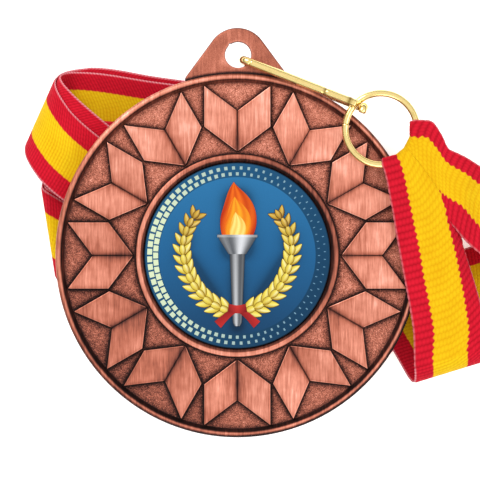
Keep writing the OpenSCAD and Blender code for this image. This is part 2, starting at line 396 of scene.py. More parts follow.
def shared(s, top, arrive, leave, lv):
    """The strand's levels are lv: they swap between the lower and the upper ply at each fold."""
    to_lower, to_neck = heading(*LOOP_TURNS[1:3]), heading(LOOP_TURNS[4], NECK)
    s.fold(arrive, leave, 66, 140, -8, top, lv[0], FINE, 26, lead=9, lag=9.5)
    s.turn(LOOP_TURNS[0], -8, 252.8, lv[0], lv[1], MID)
    s.turn(LOOP_TURNS[1], 252.8, to_lower, lv[1], lv[2], MID)
    s.turn(LOOP_TURNS[2], to_lower, 229, lv[2], lv[3], MID)
    s.turn(LOOP_TURNS[3], 229, 329, lv[3], lv[4], FINE, 20, lead=3.5, lag=4.5)
    s.turn(LOOP_TURNS[4], 329, to_neck, lv[4], lv[5], MID)
    s.leg([*NECK, lv[5]], to_neck, MID)
    return to_neck


shared(B, TOP_OUT, (-25.30, 15.37), (-22.6, 21.5), (0.20, 1.43, 1.84, 3.07, 4.18, 5.41))
last = shared(A, TOP_IN, (-24.49, 17.20), (-22.95, 20.8), (0.61, 1.02, 2.25, 2.66, 4.59, 5.00))
# The neck's fold joins the two strands in a half turn.
NECK_Z, NECK_R = 5.205, 0.205
for i in range(1, 8):
    w = math.pi * i / 8
    c = np.array([*NECK, NECK_Z - NECK_R * math.cos(w)]) + head(last) * NECK_R * math.sin(w)
    A.level(c, head(last + 90), HALF, MID)

rungs = A.rungs + B.rungs[::-1]
steps = A.step + B.step[::-1]
# Every rung is sampled at the same fractions of its width, closer together toward the selvages.
COLS = 19
even = np.linspace(0, 1, COLS)
ts = 0.35 * (0.5 - 0.5 * np.cos(even * math.pi)) + 0.65 * even


def sampled(r):
    t = (r[:, 0] - r[0, 0]) / (r[-1, 0] - r[0, 0])
    return np.stack([np.interp(ts, t, r[:, k]) for k in range(4)], 1)


def span(rung):
    return rung[-1, 1:] - rung[0, 1:]


rows = np.array([sampled(r) for r in rungs])
turn_at = len(A.rungs)
# The strip comes back along its own other side, so its selvages swap over at the neck's fold.
if np.dot(span(rows[turn_at - 1]), span(rows[turn_at])) < 0:
    rows[turn_at:] = rows[turn_at:, ::-1]


def pchip(x, y, q):
    """Monotone cubic through (x, y) at q; y may have trailing axes."""
    def wide(v):
        return v.reshape(-1, *[1] * (y.ndim - 1))

    h = np.diff(x)
    d = np.diff(y, axis=0) / wide(h)
    m = np.zeros_like(y)
    w1, w2 = wide(2 * h[1:] + h[:-1]), wide(h[1:] + 2 * h[:-1])
    with np.errstate(divide="ignore", invalid="ignore"):
        inner = (w1 + w2) / (w1 / d[:-1] + w2 / d[1:])
    m[1:-1] = np.where(d[1:] * d[:-1] > 0, inner, 0)
    m[0], m[-1] = d[0], d[-1]
    i = np.clip(np.searchsorted(x, q, side="right") - 1, 0, len(x) - 2)
    hh = wide(h[i])
    s = wide((q - x[i]) / h[i])
    return ((1 + 2 * s) * (1 - s) ** 2 * y[i] + s * (1 - s) ** 2 * hh * m[i]
            + s * s * (3 - 2 * s) * y[i + 1] + s * s * (s - 1) * hh * m[i + 1])


# The ribs stand out boldly on the front strips.
bold = np.zeros(len(rungs))
bold[:A.front + 2] = 1
bold[-B.front:] = 1


def gaps(col):
    return np.linalg.norm(np.diff(rows[:, col, 1:], axis=0), axis=1)


gap = np.maximum(gaps(COLS // 2), 0.5 * np.maximum(gaps(0), gaps(-1)))
x = np.concatenate([[0], np.cumsum(gap)])
q = [0.0]
for i, g in enumerate(gap):
    n = max(1, int(math.ceil(g / min(steps[i], steps[i + 1]) - 0.2)))
    q += list(x[i] + g * np.arange(1, n + 1) / n)
q = np.array(q)
fine = pchip(x, rows, q)
U, PT = fine[:, :, 0], fine[:, :, 1:]
V = np.concatenate([np.zeros((1, COLS)), np.cumsum(np.linalg.norm(np.diff(PT, axis=0), axis=2), axis=0)])
du, dv = np.gradient(PT, axis=1), np.gradient(PT, axis=0)
N = np.cross(du, dv)
N /= np.linalg.norm(N, axis=2, keepdims=True)
DU = du / np.linalg.norm(du, axis=2, keepdims=True)

# Weft ribs and warp threads as relief: their pitches, then the heights of the bold and the faint ribs.
RIB, WARP = 0.93, 0.52
BOLD = np.interp(q, x, bold)[:, None] * np.ones((1, COLS))
rib = np.abs(np.sin(math.pi * V / RIB))
thread = np.abs(np.sin(math.pi * V * 2 / RIB))
bead = np.abs(np.sin(math.pi * (U / WARP + 0.5 * (np.floor(V / RIB) % 2))))
STRIPE = np.clip((np.abs(U - HALF) - 2.2) / 0.5, 0, 1)
strong_ribs = (0.07 * rib ** 0.8 - 0.033 + 0.02 * bead * rib) * (0.45 + 0.55 * STRIPE)
relief = strong_ribs * BOLD + (0.03 * thread - 0.015) * (1 - BOLD)
# The selvages are rolled thin, and the ribs' ends push them in and out.
edge = np.minimum(U, WIDTH - U)
roll = np.clip(edge / 0.25, 0, 1)
half_t = (T / 2) * np.sqrt(np.clip(1 - (1 - roll) ** 2, 0, 1)) * 0.9 + 0.017
push = BOLD * (rib - 0.4) + (1 - BOLD) * 0.6 * (thread - 0.4)
PT = PT + DU * (np.where(U < HALF, -1, 1) * np.clip(1 - edge / 0.5, 0, 1) * 0.06 * push)[:, :, None]
offset = N * (half_t + relief * roll)[:, :, None]


def closed(count, cols, flip=False):
    """Faces of a thin sheet of count rows: its upper side, the same number of points below, and walls."""
    sheet = grid_faces(count, cols, flip=flip)
    low = count * cols
    faces = sheet + [[i + low for i in f[::-1]] for f in sheet]
    border = [((i + 1) * cols, i * cols) for i in range(count - 1)]
    border += [(i * cols + cols - 1, (i + 1) * cols + cols - 1) for i in range(count - 1)]
    border += [(j, j + 1) for j in range(cols - 1)]
    border += [(low - cols + j + 1, low - cols + j) for j in range(cols - 1)]
    for p, q in border:
        wall = [q, q + low, p + low, p]
        faces.append(wall if flip else wall[::-1])
    return faces


def ribbon_material():
    """Red selvages and a yellow middle in ribbed weave, with a pale line along each selvage; shade is painted
    between the ribs.
    """
    k = Nodes("ribbon")
    u, v, strong = k.attr("across"), k.attr("along"), k.attr("bold")
    faint = k.math("SUBTRACT", 1.0, strong)

    def rib_wave(pitch):
        return k.math("ABSOLUTE", k.math("SINE", k.math("MULTIPLY", v, math.pi / pitch)))

    # Distance in from the nearer selvage; the colours' border waves with the ribs.
    e = k.math("SUBTRACT", HALF, k.math("ABSOLUTE", k.math("SUBTRACT", u, HALF)))
    wave = k.math("MULTIPLY", k.math("SINE", k.math("MULTIPLY", v, 2 * math.pi / RIB)), 0.12)
    wave = k.math("MULTIPLY", wave, k.math("ADD", k.math("MULTIPLY", strong, 0.8), 0.2))
    yellow = k.ramp(k.math("DIVIDE", k.math("ADD", e, wave), HALF), [(0.505, 0), (0.535, 1)])
    selvage = k.ramp(k.math("DIVIDE", e, HALF), [(0.02, 1), (0.055, 0)])
    comb = k.add("CombineXYZ")
    k.put(comb.inputs[0], u)
    k.put(comb.inputs[1], v)
    uv = comb.outputs[0]
    # Warp columns and weft threads, finer than the ribs that are modelled.
    stagger = k.math("MULTIPLY", k.math("FLOOR", k.math("DIVIDE", v, RIB)), math.pi / 2)
    warp = k.math("ADD", k.math("MULTIPLY", u, math.pi / WARP), stagger)
    warp = k.math("ABSOLUTE", k.math("SINE", warp))
    thread = rib_wave(RIB / 2)
    fuzz = k.noise(k.scaled(uv, (7, 3, 1)), 1.6, 3, 0.6)
    soft = k.noise(uv, 0.35, 2, 0.5)
    ribs = k.math("ADD", k.math("MULTIPLY", rib_wave(RIB), strong), k.math("MULTIPLY", thread, faint))
    # The ribs' painted shade is fainter on the bold strips' yellow.
    depth = k.math("SUBTRACT", 1.0, k.math("MULTIPLY", k.math("MULTIPLY", yellow, strong), 0.5))
    # The rib waves paint shade between the ribs on the red, the gold and the pale line; the warp and the
    # noise add the weave's own uneven tone.
    rib_shade_and_weave = k.math("MULTIPLY", k.math("MULTIPLY", ribs, depth), 0.5)
    rib_shade_and_weave = k.math("ADD", rib_shade_and_weave, k.math("MULTIPLY", warp, 0.2))
    rib_shade_and_weave = k.math("ADD", rib_shade_and_weave, k.math("MULTIPLY", fuzz, 0.3))
    rib_shade_and_weave = k.math("ADD", rib_shade_and_weave, k.math("MULTIPLY", k.math("SUBTRACT", soft, 0.5), 0.5))
    red = k.mix(rib_shade_and_weave, tint(158, 6, 24), tint(232, 28, 52))
    gold = k.mix(rib_shade_and_weave, tint(226, 158, 0), tint(255, 218, 26))
    pale = k.mix(ribs, tint(226, 96, 112), tint(244, 168, 174))
    selvage = k.math("MULTIPLY", selvage, k.math("SUBTRACT", 0.9, k.math("MULTIPLY", strong, 0.45)))
    c = k.mix(selvage, k.mix(yellow, red, gold), pale)
    height = k.math("ADD", k.math("MULTIPLY", warp, 0.5), k.math("MULTIPLY", fuzz, 0.5))
    height = k.math("ADD", height, k.math("MULTIPLY", thread, 0.3))
    return k.set(color=c, rough=0.8, sheen=0.03, normal=k.bump(height, 0.5, 0.00006), spec=0.06)


verts = np.concatenate([(PT + offset).reshape(-1, 3), (PT - offset).reshape(-1, 3)])
ribbon = mesh("neck_ribbon", verts, closed(len(q), COLS), True, ribbon_material())
for key, values in (("across", U), ("along", V), ("bold", BOLD)):
    attr(ribbon, key, np.tile(values.ravel(), 2))
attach(ribbon, "ribbon")
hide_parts("ribbon_ring_fold", "ribbon_front_strip", "ribbon_front_return", "ribbon_side_strip",
            "ribbon_side_return", "ribbon_upper_loop", "ribbon_lower_loop", "ribbon_stack")


# ---------------------------------------------------------------- metals
def copper_material(name):
    """Antique copper plating: brushed and bright where it stands proud, stippled and dark elsewhere; the mesh
    adds patina and painted light, and shade is painted toward the lower left.
    """
    k = Nodes(name)
    p = k.place()
    sep = k.add("SeparateXYZ")
    k.link(p, sep.inputs[0])
    x, y = sep.outputs[0], sep.outputs[1]
    r = k.add("VectorMath", operation="LENGTH")
    k.link(k.scaled(p, (1, 1, 0)), r.inputs[0])
    field = k.attr("field")
    smooth = k.math("SUBTRACT", 1.0, field)
    # The tab's corner against the rim holds patina and painted shade too.
    beyond = k.math("SUBTRACT", r.outputs["Value"], TAB_MEETS_RIM)
    corner = k.ramp(beyond, [(0.0, 1), (0.12, 0.9), (0.5, 0.25), (1.0, 0)])
    dark = k.math("MAXIMUM", k.attr("patina_and_painted_light"), k.math("MULTIPLY", k.attr("tab"), corner))
    brush = k.noise(k.scaled(p, (13, 0.5, 1)), 1.0, 5, 0.7)
    streak = k.noise(k.scaled(p, (3.4, 0.25, 1)), 1.0, 2, 0.5)
    blotch = k.noise(p, 0.35, 3, 0.55)
    grit = k.noise(p, 10.0, 3, 0.7)
    coarse = k.noise(p, 4.6, 2, 0.6)
    grain = k.math("ADD", k.math("MULTIPLY", grit, 0.75), k.math("MULTIPLY", coarse, 0.25))
    worn = k.math("ADD", k.math("MULTIPLY", brush, 0.55), k.math("MULTIPLY", streak, 0.45))
    worn = k.math("ADD", worn, k.math("MULTIPLY", k.math("SUBTRACT", blotch, 0.5), 0.5))
    brushed = k.math("MULTIPLY", k.math("SUBTRACT", 0.5, worn), 0.95)
    stippled = k.math("MULTIPLY", k.math("SUBTRACT", 0.5, grain), 2.6)
    f = k.math("ADD", k.math("MULTIPLY", field, stippled), k.math("MULTIPLY", smooth, brushed))
    f = k.math("ADD", dark, f)
    # Painted shade darkens the copper a little toward the bottom and more toward the lower left; the tab is a
    # little darker too.
    low = k.math("MULTIPLY", k.math("SUBTRACT", 4.0, y), 0.0022)
    left = k.math("ADD", k.math("MULTIPLY", x, -0.906), k.math("MULTIPLY", y, -0.423))
    left = k.math("MULTIPLY", k.math("MAXIMUM", k.math("SUBTRACT", left, 5.0), 0.0), 0.0075)
    low = k.math("ADD", k.math("ADD", low, left), k.math("MULTIPLY", k.attr("tab"), 0.13))
    f = k.math("ADD", k.math("ADD", f, low), 0.19, clamp=True)
    c = k.ramp(f, [(0.0, srgb(244, 184, 164)), (0.2, srgb(214, 138, 115)), (0.42, srgb(172, 98, 76)),
                   (0.66, srgb(112, 58, 45)), (0.86, srgb(58, 28, 23)), (1.0, srgb(28, 13, 11))])
    height = k.math("MULTIPLY", k.math("MULTIPLY", field, grain), 2.2)
    height = k.math("ADD", k.math("MULTIPLY", brush, 0.5), height)
    return k.set(color=c, metal=0.72, rough=k.ramp(f, [(0, 0.4), (1, 0.6)]),
                 normal=k.bump(height, 0.5, 0.00006))


def gold_material(name):
    """Thin bright gilt plating with pale and dull streaks along the wire, tarnished where it is marked."""
    k = Nodes(name)
    comb = k.add("CombineXYZ")
    k.put(comb.inputs[0], k.math("MULTIPLY", k.attr("around"), 2.6))
    k.put(comb.inputs[1], k.math("MULTIPLY", k.attr("along"), 0.12))
    draw = k.noise(comb.outputs[0], 2.2, 3, 0.6)
    spots = k.noise(k.place(), 1.6, 3, 0.6)
    worn = k.math("ADD", k.math("MULTIPLY", draw, 0.6), k.math("MULTIPLY", spots, 0.4))
    dull = k.math("ADD", k.attr("tarnish"), k.ramp(worn, [(0.55, 0), (0.8, 0.4)]), clamp=True)
    c = k.mix(worn, srgb(250, 230, 168), srgb(232, 198, 110))
    c = k.mix(dull, c, srgb(120, 94, 30))
    return k.set(color=c, metal=1.0, rough=k.ramp(dull, [(0, 0.17), (1, 0.42)]),
                 normal=k.bump(worn, 0.25, 0.00003))


TAB_MEETS_RIM = 24.9
COPPER = copper_material("antique_copper")
GOLD = gold_material("gilt_wire")
Z0, Z1 = (corner[2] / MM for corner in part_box("medal_casting"))
# Radii of the disc, its rim's inner edge, the bezel and both crests, and the height of the field.
R = 25.0
IN = R - 1.15
BEZEL_IN, BEZEL_OUT = 12.85, 13.9
RIM_CREST, BEZEL_CREST = 24.53, 13.62
FIELD = Z1 - 0.9
PLATE_LOW, PLATE_HIGH, PLATE_LONG = 0.35, 0.8, 4.55


def smooth_noise(x, y, seed, cell):
    """Value noise over the plane with cells of that size, from 0 to 1."""
    g = np.random.default_rng(seed).random((256, 256))
    X, Y = x / cell + 100.3, y / cell + 90.7
    i, j = np.floor(X).astype(int), np.floor(Y).astype(int)
    fx, fy = X - i, Y - j
    fx, fy = fx * fx * (3 - 2 * fx), fy * fy * (3 - 2 * fy)
    a, b = g[i % 256, j % 256], g[(i + 1) % 256, j % 256]
    c, d = g[i % 256, (j + 1) % 256], g[(i + 1) % 256, (j + 1) % 256]
    return (a * (1 - fx) + b * fx) * (1 - fy) + (c * (1 - fx) + d * fx) * fy


# A plate's corners, seen from the middle of the disc along the groove of its pair.
PLATE = np.array([[14.3, 0.01], [19.9, 0.01], [23.3, PLATE_LONG], [17.7, PLATE_LONG]])
PAIRS = 12


def plate_distance(x, y):
    """Distance from each point of the field to the nearest plate's outline; inside is negative."""
    best = np.full(x.shape, 9.0)
    for i in range(PAIRS):
        a = math.radians(90 + 360 / PAIRS * i)
        lx, ly = x * math.cos(a) + y * math.sin(a), np.abs(-x * math.sin(a) + y * math.cos(a))
        inside = np.ones(x.shape, bool)
        d = np.full(x.shape, 9.0)
        for p, after in zip(PLATE, np.roll(PLATE, -1, axis=0)):
            e = after - p
            t = np.clip(((lx - p[0]) * e[0] + (ly - p[1]) * e[1]) / (e @ e), 0, 1)
            d = np.minimum(d, np.hypot(lx - p[0] - t * e[0], ly - p[1] - t * e[1]))
            inside &= (e[0] * (ly - p[1]) - e[1] * (lx - p[0])) > 0
        best = np.minimum(best, np.where(inside, -d, d))
    return best


def capped(v, rings, segs):
    """Faces between rings of points, with a single point before the first ring and after the last."""
    last = len(v) - 1
    f = [[0, 1 + (j + 1) % segs, 1 + j] for j in range(segs)]
    f += [[1 + i for i in quad] for quad in grid_faces(rings, segs, wrap_c=True)]
    first = 1 + (rings - 1) * segs
    f += [[last, first + j, first + (j + 1) % segs] for j in range(segs)]
    return f


def revolve_part(profile, segs):
    """The solid turned from a profile of (radius, height) that starts and ends on the axis."""
    a = np.arange(segs) * 2 * math.pi / segs
    v = [[0, 0, profile[0][1]]]
    for r, z in profile[1:-1]:
        v += [[r * math.cos(t), r * math.sin(t), z] for t in a]
    v.append([0, 0, profile[-1][1]])
    return np.array(v), capped(v, len(profile) - 2, segs)


def arc(cx, cz, r, a0, a1, n=5):
    return [(cx + r * math.cos(t), cz + r * math.sin(t)) for t in np.radians(np.linspace(a0, a1, n))]


# Section of the disc: its back and outer wall, the rim's bead, the field, the bezel and the insert's seat.
CREST = Z1 - 0.05
disc = [(0, Z0 + 0.4), (R - 1.4, Z0 + 0.4)]
disc += arc(R - 1.3, Z0 + 0.1, 0.1, 180, 270, 3)
disc += arc(R - 0.3, Z0 + 0.3, 0.3, 270, 360)
disc += arc(R - 0.45, Z1 - 0.45, 0.45, 0, 140, 13)
disc += [(IN + 0.2, Z1 - 0.42)]
disc += arc(IN - 0.12, FIELD + 0.12, 0.12, 0, -90, 3)
disc += [(r, FIELD) for r in np.linspace(IN - 0.25, BEZEL_OUT + 0.26, 72)]
disc += arc(BEZEL_OUT + 0.2, FIELD + 0.1, 0.1, 270, 180, 3)
disc += arc(13.68, CREST - 0.3, 0.3, 15, 90, 6)
disc += arc(13.48, CREST - 0.3, 0.3, 90, 150, 5)
disc += [(13.05, Z1 - 0.32), (BEZEL_IN, Z1 - 0.55), (BEZEL_IN, Z0 + 1.7), (0, Z0 + 1.7)]


def disc_part():
    """The round casting, its field stippled and patina and painted light laid by height and place."""
    v, faces = revolve_part(disc, 560)
    x, y, z = v.T
    rad = np.hypot(x, y)
    far = np.maximum(rad, 1)
    on_field = (rad > BEZEL_OUT + 0.15) & (rad < IN - 0.1) & (np.abs(z - FIELD) < 0.05)
    stipple = 0.5 * smooth_noise(x, y, 1, 0.3) + 0.5 * smooth_noise(x, y, 2, 0.17) - 0.5
    # On the field patina and painted shade gather against the plates, the rim and the bezel.
    near = np.where(on_field, np.clip(plate_distance(x, y), 0, 9), 9)
    near = np.minimum.reduce([near, np.abs(IN + 0.3 - rad), np.abs(rad - BEZEL_OUT)])
    low = 0.19 + 0.52 * np.exp(-near / 0.26) + 0.32 * np.exp(-near / 0.75) - 0.3 * stipple
    low = np.clip(low, 0, 1)
    # The rim's bead is rubbed bright along its crest, with a painted highlight on the side toward the light,
    # and painted in shade down both flanks, the outer flank least toward the light.
    toward_light = 0.5 + 0.5 * (0.64 * y - 0.77 * x) / far
    off = rad - RIM_CREST
    outer = (0.84 - 0.76 * toward_light) * np.clip(off / 0.3, 0, 1)
    flank = np.where(off > 0, outer, 0.64 * np.clip(-off / 0.32, 0, 1) ** 1.6)
    flank *= np.where(z > Z1 - 0.4, 1.0, 0.4)
    on_rim = 0.05 - 0.1 * toward_light * np.clip(0.4 - y / 30, 0, 1) + flank
    # The bezel is painted darker toward the upper right and lighter toward the lower left, and painted in
    # shade down both flanks from its crest.
    on_bezel = 0.14 + (0.16 * x + 0.14 * y) / far
    on_bezel += 0.45 * np.clip(np.abs(rad - BEZEL_CREST) / 0.42, 0, 1) ** 2.5
    patina_and_painted_light = np.where(on_field, low, np.where(rad > 20, on_rim, on_bezel))
    # Walls and the surfaces below the crests: the walls are dark with patina and painted shade, the rim's
    # wall least toward the light, and the bezel's inner wall over the insert is painted in shade.
    rim_wall = (rad > IN - 0.13) & (rad < IN + 0.25)
    bezel_wall = (rad > BEZEL_OUT + 0.03) & (rad < BEZEL_OUT + 0.22)
    wall = (rim_wall | bezel_wall) & (z < Z1 - 0.15) & ~on_field
    patina_and_painted_light = np.where(wall, np.where(rad > 20, 0.68 - 0.2 * toward_light, 0.88), patina_and_painted_light)
    patina_and_painted_light = np.where((rad < BEZEL_IN + 0.05) & (z > Z0 + 1) & (z < Z1 - 0.2), 0.5, patina_and_painted_light)
    patina_and_painted_light = np.where((rad < IN - 0.1) & (z < Z0 + 0.5), 0.25, patina_and_painted_light)
    v[:, 2] += np.where(on_field, 0.08 * stipple, 0)
    return v, faces, {"patina_and_painted_light": patina_and_painted_light, "field": on_field.astype(float)}


def plate_part(index, side):
    """One raised plate with bevelled edges, its foot sunk in the field."""
    along, rows, bevel, sunk = 22, 19, 0.13, FIELD - 0.3
    a, b, c, d = PLATE
    slope = (PLATE_HIGH - PLATE_LOW) / PLATE_LONG
    u, v = np.meshgrid(np.linspace(0, 1, along), np.linspace(0, 1, rows))
    u, v = u.reshape(-1, 1), v.reshape(-1, 1)
    outline = (1 - u) * (1 - v) * a + u * (1 - v) * b + u * v * c + (1 - u) * v * d
    # The top is drawn in by the bevel so that the outline is the wall's.
    e_u, e_v = (b - a) / np.linalg.norm(b - a), (d - a) / np.linalg.norm(d - a)
    inset = bevel / abs(e_u[0] * e_v[1] - e_u[1] * e_v[0])
    top = outline + inset * (((u == 0) * 1 - (u == 1) * 1) * e_u + ((v == 0) * 1 - (v == 1) * 1) * e_v)

    def raised(xy):
        return np.column_stack([xy, FIELD + PLATE_LOW + slope * xy[:, 1]])

    idx = np.arange(along * rows).reshape(rows, along)
    loop = np.concatenate([idx[0], idx[1:, -1], idx[-1, -2::-1], idx[-2:0:-1, 0]])
    lx, ly = top.T
    top = raised(top)
    shoulder = raised(outline[loop])
    shoulder[:, 2] -= 0.09
    bulge = (top[loop] + shoulder) / 2
    bulge[:, :2] += (shoulder - top[loop])[:, :2] * 0.2
    bulge[:, 2] += 0.022
    foot = np.column_stack([outline[loop], np.full(len(loop), sunk)])
    verts = np.concatenate([top, bulge, shoulder, foot, [[*outline.mean(0), sunk]]])
    faces = [[idx[r, k], idx[r, k + 1], idx[r + 1, k + 1], idx[r + 1, k]]
             for r in range(rows - 1) for k in range(along - 1)]
    n, first = len(loop), along * rows
    for i in range(n):
        j = (i + 1) % n
        faces.append([loop[j], loop[i], first + i, first + j])
        for ring in (first, first + n):
            faces.append([ring + j, ring + i, ring + n + i, ring + n + j])
        faces.append([first + 2 * n + j, first + 2 * n + i, len(verts) - 1])
    # Patina and painted shade gather along the groove and, thinly, along the other edges, and the top darkens
    # toward its inner end. The bevel's rounded lip is a painted highlight except by the groove, and the walls
    # below it are painted in shade.
    lean = (d - a)[0] / (d - a)[1]
    to_left, to_right = lx - a[0] - lean * (ly - a[1]), b[0] + lean * (ly - b[1]) - lx
    to_side = np.minimum.reduce([to_left, to_right, PLATE_LONG - ly])
    inward = np.clip((c[0] - lx) / 9.0, 0, 1)
    on_top = 0.42 * np.exp(-ly / 0.22) + 0.26 * np.exp(-np.clip(to_side, 0, 9) / 0.2)
    on_top += 0.2 * np.exp(-ly / 1.3) * (0.3 + inward) + 0.10 * inward ** 2
    by_groove = shoulder[:, 1] < 0.2
    patina_and_painted_light = np.concatenate([on_top, np.where(by_groove, 0.55, -0.14), np.where(by_groove, 0.75, 0.6),
                             np.ones(n + 1)])
    if side < 0:
        verts[:, 1] *= -1
        faces = [f[::-1] for f in faces]
    t = math.radians(90 + 360 / PAIRS * index)
    x, y = verts[:, 0].copy(), verts[:, 1].copy()
    verts[:, 0], verts[:, 1] = x * math.cos(t) - y * math.sin(t), x * math.sin(t) + y * math.cos(t)
    return verts, faces, {"patina_and_painted_light": patina_and_painted_light}


def tab_part():
    """The hanging tab: rows run from the hole's wall over the top face, down the outline and back."""
    n = 220
    hole, hole_r = np.array([0.1, 27.6]), 1.8
    round_y, round_r = 27.1, 4.2
    foot = np.array([7.2, 24.4])
    stop_r, below = 24.3, 23.2
    reach = math.hypot(foot[0], round_y - foot[1])
    touch = math.acos(round_r / reach) - math.atan((round_y - foot[1]) / foot[0])
    outline = [[-foot[0], below], [foot[0], below], foot]
    outline += arc(0, round_y, round_r, math.degrees(touch), 180 - math.degrees(touch), 50)
    outline = np.array(outline + [[-foot[0], foot[1]]])
    ang = np.arange(n) * 2 * math.pi / n
    cos, sin = np.cos(ang), np.sin(ang)
    # How far each ray from the hole's middle runs to the outline.
    out = np.full(n, 99.0)
    for p, e in zip(outline, np.roll(outline, -1, axis=0) - outline):
        w = p - hole
        with np.errstate(divide="ignore", invalid="ignore"):
            t = (w[0] * e[1] - w[1] * e[0]) / (cos * e[1] - sin * e[0])
            s = (w[0] * sin - w[1] * cos) / (cos * e[1] - sin * e[0])
        hit = (t > 0) & (s >= -1e-9) & (s <= 1 + 1e-9)
        out = np.where(hit, np.minimum(out, t), out)
    # The foot ends inside the rim's width, short of the field.
    toward = hole[0] * cos + hole[1] * sin
    under = toward ** 2 - (hole @ hole - stop_r ** 2)
    stop = np.where((under > 0) & (toward < 0), -toward - np.sqrt(np.clip(under, 0, None)), 99)
    out = np.minimum(out, stop)
    z0, z1 = Z0 + 0.3, Z0 + 2.4
    # The casting has a small nick at the hole's upper left.
    nick = 0.16 * np.exp(-((ang - math.radians(128)) / 0.09) ** 2)
    inner = hole_r + nick
    # Each row's last value is its patina and painted shade: the hole's wall and the outer wall are painted in
    # shade, and the hole's rounded lip is lighter than the top.
    rows = [(inner, z0 + 0.1, 0.7), (inner, z1 - 0.12, 0.35), (inner + 0.04, z1 - 0.03, 0.1),
            (inner + 0.13, z1, 0.04)]
    rows += [(hole_r + (out - hole_r) * share, z1, 0.18) for share in (0.2, 0.45, 0.7, 0.88)]
    rows += [(out - 0.22, z1, 0.18), (out - 0.08, z1 - 0.05, 0.3), (out, z1 - 0.2, 0.55)]
    rows += [(out, z0 + 0.2, 0.6), (out - 0.06, z0 + 0.06, 0.15), (out - 0.2, z0, 0.15)]
    rows += [(inner + 0.1, z0, 0.2)]
    v = np.concatenate([np.stack([hole[0] + r * cos, hole[1] + r * sin, np.full(n, z)], 1)
                        for r, z, _ in rows])
    patina_and_painted_light = np.repeat([dark for _, _, dark in rows], n)
    return (v, grid_faces(len(rows), n, wrap_r=True, wrap_c=True),
            {"patina_and_painted_light": patina_and_painted_light, "tab": np.ones(len(v)), "field": np.full(len(v), 0.35)})


plates = [plate_part(i, side) for i in range(PAIRS) for side in (1, -1)]
medal = join("medal_casting_relief", [disc_part(), *plates, tab_part()], COPPER)
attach(medal, "medal")
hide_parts("medal_casting")


# ---------------------------------------------------------------- clip and ring
def tube(path, radius, lip, segs=28):
    """A round wire along a path, its two ends flat with a rounded lip."""
    pts = np.array(path, float)
    radius = np.broadcast_to(radius, len(pts)).astype(float)
    d = np.gradient(pts, axis=0)
    d /= np.linalg.norm(d, axis=1, keepdims=True)
    run = np.concatenate([[0], np.cumsum(np.linalg.norm(np.diff(pts, axis=0), axis=1))])
    # The frame that each ring of points is laid in turns as little as it can along the way.
    n = np.cross(d[0], [0.31, 0.52, 0.79])
    frames = []
    for ahead in d:
        n = n - ahead * np.dot(n, ahead)
        n /= np.linalg.norm(n)
        frames.append((n, np.cross(ahead, n)))
    end = len(pts) - 1
    rings = [(0, -lip, radius[0] - lip), (0, -0.4 * lip, radius[0] - 0.3 * lip)]
    rings += [(i, 0, radius[i]) for i in range(len(pts))]
    rings += [(end, 0.4 * lip, radius[-1] - 0.3 * lip), (end, lip, radius[-1] - lip)]
    a = np.arange(segs)[:, None] * 2 * math.pi / segs
    v = [[pts[0] - d[0] * lip]]
    for i, out, r in rings:
        across, up = frames[i]
        v.append(pts[i] + d[i] * out + r * (np.cos(a) * across + np.sin(a) * up))
    v = np.concatenate([*v, [pts[-1] + d[-1] * lip]])
    along = np.concatenate([[0], np.repeat([run[i] for i, _, _ in rings], segs), [run[-1]]])
    around = np.concatenate([[0], np.tile(np.abs(np.arange(segs) * 2 / segs - 1), len(rings)), [0]])
    return v, capped(v, len(rings), segs), {"along": along, "around": around}


def wire(name, node, body, path, radius, lip, marks=()):
    """A gilt wire piece; each mark is a place along it in millimetres and the spread of its tarnish."""
    v, f, at = tube(path, radius, lip)
    tarnish = np.zeros(len(v))
    for where, spread in marks:
        tarnish = np.maximum(tarnish, 0.9 * np.exp(-((at["along"] - where) / spread) ** 2))
    o = join(name, [(v, f, {**at, "tarnish": tarnish})], GOLD)
    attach(o, body)
    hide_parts(node)


# The clip lies in an upright plane from the hanging hole to the ring: s runs along it and z up.
WIRE_R, BEND, HOOK, REACH = 0.55, 1.0, 0.62, 16.58
CLIP_FROM, CLIP_U = np.array([0.81, 26.89]), head(-21.5, 2)
CLIP_SIDE = np.array([CLIP_U[1], -CLIP_U[0]])
BASE_Z, LOW_Z, END_Z = Z1 + 0.65, Z0 - 1.15, RING[2] + RING_WIRE + 0.1 + WIRE_R
END_S = REACH + 1.2


def clip_point(s, z, w=0.0):
    return [*(CLIP_FROM + s * CLIP_U + w * CLIP_SIDE), z]


# Frame: down through the hole, along below the medal, up at the far end and over the ring's wire.
flat = arc(BEND, BASE_Z - BEND, BEND, 90, 180, 9) + arc(BEND, LOW_Z + BEND, BEND, 180, 270, 9)
flat += [(s, LOW_Z) for s in np.linspace(BEND, END_S - BEND, 14)[1:-1]]
flat += arc(END_S - BEND, LOW_Z + BEND, BEND, 270, 360, 9)
frame_path = [clip_point(s, z) for s, z in flat]
frame_path += [clip_point(END_S, z, w) for w, z in arc(HOOK, END_Z - HOOK, HOOK, 180, 90, 10)]
frame_path.append(clip_point(END_S, END_Z, HOOK + 0.12))
wire("clip_frame_wire", "clip_frame", "clip", frame_path, WIRE_R, 0.2)

# Spring arm: from its foot over the hole to the ring, with one shallow groove round it.
ARM_FROM, ARM_FLAT, GROOVE = 1.16, 1.65, 12.1
s = np.linspace(ARM_FROM, REACH, 90)
arm_r = WIRE_R * (1 - 0.16 * np.exp(-((s - GROOVE) / 0.22) ** 2) + 0.05 * np.exp(-((s - 6) / 5) ** 2))
arm_z = BASE_Z + (END_Z - BASE_Z) * (s - ARM_FLAT) / (REACH - ARM_FLAT)
wire("clip_spring_arm_wire", "clip_spring_arm", "spring_arm", [clip_point(*at) for at in zip(s, arm_z)],
     np.minimum(arm_r, WIRE_R + 0.02), 0.12, ((10.95, 0.2), (14.6, 0.3)))
